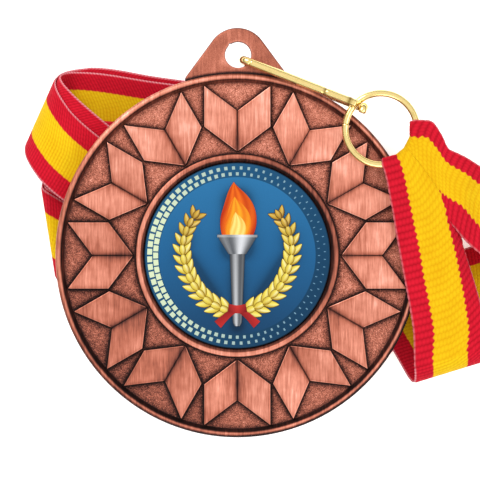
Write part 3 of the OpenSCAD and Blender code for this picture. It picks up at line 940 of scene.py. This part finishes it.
# The jump ring's butt joint is at its left.
around = [(*(RING[:2] + head(a, 2) * RING_R), RING[2]) for a in 172 + np.linspace(0.5, 359.5, 200)]
wire("jump_ring_wire", "jump_ring", "ring", around, RING_WIRE, 0.02)

# ---------------------------------------------------------------- printed insert
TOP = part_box("printed_insert")[1][2] / MM
# Each printed shape is (vertices, faces, colours); lift is how far up the last one was laid over the others.
ink_parts = []
lift = [0]


def col(*rgb):
    return np.array(tint(*rgb))


def lerp(a, b, t):
    return a + (b - a) * np.clip(t, 0, 1)[..., None]


def bump_at(x, middle, spread):
    return np.exp(-((x - middle) / spread) ** 2)


def plain(colour):
    """A colouring that is the same all over a shape."""
    return lambda along, across: np.broadcast_to(colour, (*along.shape, 3))


# The printed shadow's capsules, by ends and radius: flame, cup, handle and, on either side, a branch.
BRANCHES = [capsule for hand in (1, -1)
            for capsule in ((hand * 7.2, 2.5, hand * 7.3, 0, 0.8), (hand * 7.3, 0, hand * 3.0, -6.6, 1.0))]
SHADOW = [(0, 7.2, 0, 3.5, 2.0), (0, 2.4, 0, 1.4, 2.2), (0, 0, 0, -9.5, 0.8), *BRANCHES]


def emblem_shadow(x, y):
    """How far the printed soft shadow darkens the ground at each point."""
    d = np.full(x.shape, 9.0)
    for ax, ay, bx, by, r in SHADOW:
        ex, ey = bx - ax, by - ay
        t = np.clip(((x - ax) * ex + (y - ay) * ey) / (ex * ex + ey * ey), 0, 1)
        d = np.minimum(d, np.hypot(x - ax - t * ex, y - ay - t * ey) - r)
    return 0.5 * np.exp(-np.clip(d, 0, 9) / 0.55)


def ground_part():
    """The insert's body, blue on top: a round field with a shaded band about it."""
    field_r, edge_r, body_r = 10.76, 12.65, 12.76
    prof = [(0, TOP - 0.8), (12.6, TOP - 0.8), (body_r, TOP - 0.7)]
    prof += [(body_r, TOP - 0.08), (12.69, TOP - 0.015)]
    prof += [(r, TOP) for r in (12.6, 12.4, 12.2, 11.9, 11.5, 11.0, field_r + 0.02, field_r - 0.02)]
    prof += [(r, TOP) for r in np.linspace(10.5, 0.3, 40)] + [(0, TOP)]
    v, faces = revolve_part(prof, 240)
    x, y, z = v.T
    r = np.hypot(x, y)
    dark, mid, bright = col(22, 66, 104), col(32, 98, 148), col(44, 118, 170)
    up = (y + 10.8) / 21.6
    field = np.where((up > 0.5)[:, None], lerp(mid, bright, up * 2 - 1), lerp(dark, mid, up * 2))
    band = lerp(col(18, 62, 94), col(30, 88, 128), 0.5 + 0.5 * (y - x) / 17)
    colour = np.where((r < field_r)[:, None], field, band) * (1 - emblem_shadow(x, y))[:, None]
    colour = np.where(((r > edge_r) | (z < TOP - 0.05))[:, None], col(16, 46, 68), colour)
    return v, faces, colour


ink_parts.append(ground_part())


def blade(spine, widths, colour, across=7, up=0.012, rise=0.0007):
    """A flat printed shape: a half width that varies along a spine, coloured by how far along and across."""
    spine, widths = np.array(spine, float), np.array(widths, float)
    n = len(spine)
    d = np.gradient(spine, axis=0)
    d /= np.linalg.norm(d, axis=1, keepdims=True) + 1e-9
    left = np.stack([-d[:, 1], d[:, 0]], 1)
    e = np.linspace(-1, 1, across)
    xy = (spine[:, None, :] + left[:, None, :] * (widths[:, None] * e)[:, :, None]).reshape(-1, 2)
    c = colour(*np.meshgrid(np.linspace(0, 1, n), e, indexing="ij")).reshape(-1, 3)
    lift[0] += rise
    v = np.concatenate([np.column_stack([xy, np.full(len(xy), z)]) for z in (TOP + up + lift[0], TOP - 0.05)])
    ink_parts.append((v, closed(n, across, flip=True), np.concatenate([c, c])))


def smooth_line(pts, n):
    pts = np.array(pts, float)
    run = np.concatenate([[0], np.cumsum(np.linalg.norm(np.diff(pts, axis=0), axis=1))])
    return pchip(run, pts, np.linspace(0, run[-1], n))


# The border: two rings of cells, large and pale at the left, thinning to blue ticks at the right.
CELL, TICK = col(222, 236, 196), col(104, 152, 182)
BORDER_RINGS, BORDER_CELLS = (11.22, 12.04), 72
for number, radius in enumerate(BORDER_RINGS):
    for i in range(BORDER_CELLS):
        turn = 360 * (i + 0.5 * number) / BORDER_CELLS
        pale = (0.5 - 0.5 * math.cos(math.radians(turn))) ** 1.3
        long, wide = 0.34 * (0.4 + 0.6 * pale), 0.4 * (0.14 + 0.86 * pale)
        reach = np.array([radius - long, radius + long])
        blade(reach[:, None] * head(turn, 2), wide * reach / radius, plain(TICK + (CELL - TICK) * pale),
              2, 0.006, 0)


def leaf(x, y, angle, length, width, light, old):
    """One leaf from its foot at x, y, with a dark edge printed under it."""
    t = np.linspace(0, 1, 9)
    spine = np.array([x, y]) + head(math.degrees(angle), 2) * (t * length)[:, None]
    widths = width * np.sin(np.clip(t, 0.02, 0.99) ** 0.8 * math.pi) ** 0.8
    deep = lerp(col(186, 146, 24), col(110, 66, 12), old)
    bright = lerp(col(250, 232, 100), col(214, 164, 58), old)
    shine = lerp(col(255, 252, 196), col(240, 204, 116), old)

    def colour(along, across):
        base = lerp(deep, bright, 0.55 + 0.8 * along - 0.7 * np.abs(across - 0.15))
        return lerp(base, shine, 0.85 * bump_at(across, -0.3, 0.3) * light * np.clip(along * 1.6, 0, 1))

    blade(spine, widths + 0.07, plain(deep * 0.4), 5)
    blade(spine, widths, colour)


# The laurel's right branch from its foot to its tip; the left one is its mirror image.
STEM = [(1.1, -7.7), (3.3, -6.7), (5.4, -4.8), (6.9, -2.1), (7.5, 0.7), (7.1, 3.2), (6.0, 5.1)]
LEAF_ROWS = 13
stem = smooth_line(STEM, LEAF_ROWS)
ahead = np.arctan2(*np.gradient(stem, axis=0).T[::-1])
for hand in (-1, 1):
    for i in range(LEAF_ROWS):
        size = 1.1 - 0.018 * i
        # Leaves are older and browner toward the tip.
        old = np.clip((i / LEAF_ROWS - 0.62) / 0.3, 0, 0.85)
        for spread, length in ((0.66, 2.1), (-0.66, 2.1), (0, 1.6)):
            angle = ahead[i] + spread
            leaf(hand * stem[i, 0], stem[i, 1], angle if hand > 0 else math.pi - angle, length * size,
                 0.42 * size, 0.7 + 0.3 * math.sin(2.4 * i + spread), old)


def steel(along, across):
    lit = bump_at(across, -0.25, 0.38) + 0.25 * bump_at(across, 0.7, 0.2)
    return lerp(col(70, 74, 80), col(226, 228, 232), lit)


# Torch: a tapered handle, a red tie with two tails, three tongues of flame, one in another, and the cup.
blade(smooth_line([(0, 0.6), (0, -4.5), (0, -9.3), (0, -9.7)], 24),
      np.interp(np.linspace(0, 1, 24), [0, 0.95, 1], [1.05, 0.62, 0.35]),
      lambda along, across: steel(along, across) * (0.6 + 0.25 * along)[..., None], 9)
for hand in (-1, 1):
    blade(smooth_line([(0, -7.35), (hand * 1.2, -8.1), (hand * 2.7, -9.5)], 14), np.linspace(0.3, 0.62, 14),
          lambda along, across: lerp(col(104, 14, 20), col(200, 46, 44), 0.3 + 0.5 * along + 0.2 * across))
blade(smooth_line([(-1.25, -7.2), (0, -7.4), (1.25, -7.2)], 14), np.full(14, 0.55),
      lambda along, across: lerp(col(120, 16, 22), col(214, 56, 50),
                                 0.75 - 0.6 * np.abs(2 * along - 1) + 0.2 * across))
FLAME = ((1.0, col(186, 40, 10), col(244, 112, 24)), (0.74, col(232, 96, 16), col(252, 172, 36)),
         (0.46, col(248, 170, 34), col(255, 240, 140)))
for size, deep, bright in FLAME:
    t = np.linspace(0, 1, 40)
    blade(np.stack([0.5 * size * np.sin(5 * t) * t, 2.4 + 7.7 * size * t], 1),
          2.6 * size * (1 - t) ** 1.1 * (0.75 + 2.2 * t) + 0.01,
          lambda along, across: lerp(deep, bright,
                                     0.75 - 0.5 * across ** 2 + 0.28 * np.sin(9 * across + 6 * along)), 19)
CUP_Y, CUP_W = (0.2, 0.45, 1.4, 2.3, 2.6), (1.2, 1.35, 1.95, 2.5, 2.55)
blade([(0, y) for y in CUP_Y], CUP_W, steel, 15)
blade([(0, 2.5), (0, 2.85)], [2.75, 2.75], lambda along, across: 0.85 * steel(along, across) + 0.15, 15)


def print_material():
    k = Nodes("print_under_gloss")
    ink = k.add("Attribute", attribute_name="ink").outputs["Color"]
    dots = k.noise(k.place(), 6.0, 2, 0.5)
    return k.set(color=k.mix(k.math("MULTIPLY", dots, 0.12), ink, (0, 0, 0)), rough=0.45, spec=0.1)


verts, faces, _ = merged(ink_parts)
art = mesh("printed_insert_art", verts, faces, False, print_material())
ink = art.data.color_attributes.new("ink", "FLOAT_COLOR", "POINT")
ink.data.foreach_set("color", np.insert(np.concatenate([c for _, _, c in ink_parts]), 3, 1, axis=1).ravel())
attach(art, "medal")
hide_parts("printed_insert")

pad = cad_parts["insert_adhesive"].data.materials
pad.clear()
pad.append(Nodes("adhesive_pad").set(color=srgb(230, 230, 220), rough=0.6))

# ---------------------------------------------------------------- floor
# The floor glows faintly so that it stays white inside the ribbon's loops.
SIDE, FLOOR_Z = 900, -0.06
corners = [[x, y, FLOOR_Z] for x, y in ((-SIDE, -SIDE), (SIDE, -SIDE), (SIDE, SIDE), (-SIDE, SIDE))]
floor = mesh("floor", corners, [[0, 1, 2, 3]], False)
k = Nodes("paper_floor")
k.bsdf.inputs["Emission Color"].default_value = (1, 1, 1, 1)
k.bsdf.inputs["Emission Strength"].default_value = 0.4
floor.data.materials.append(k.set(color=(0.97, 0.97, 0.97), rough=0.9))
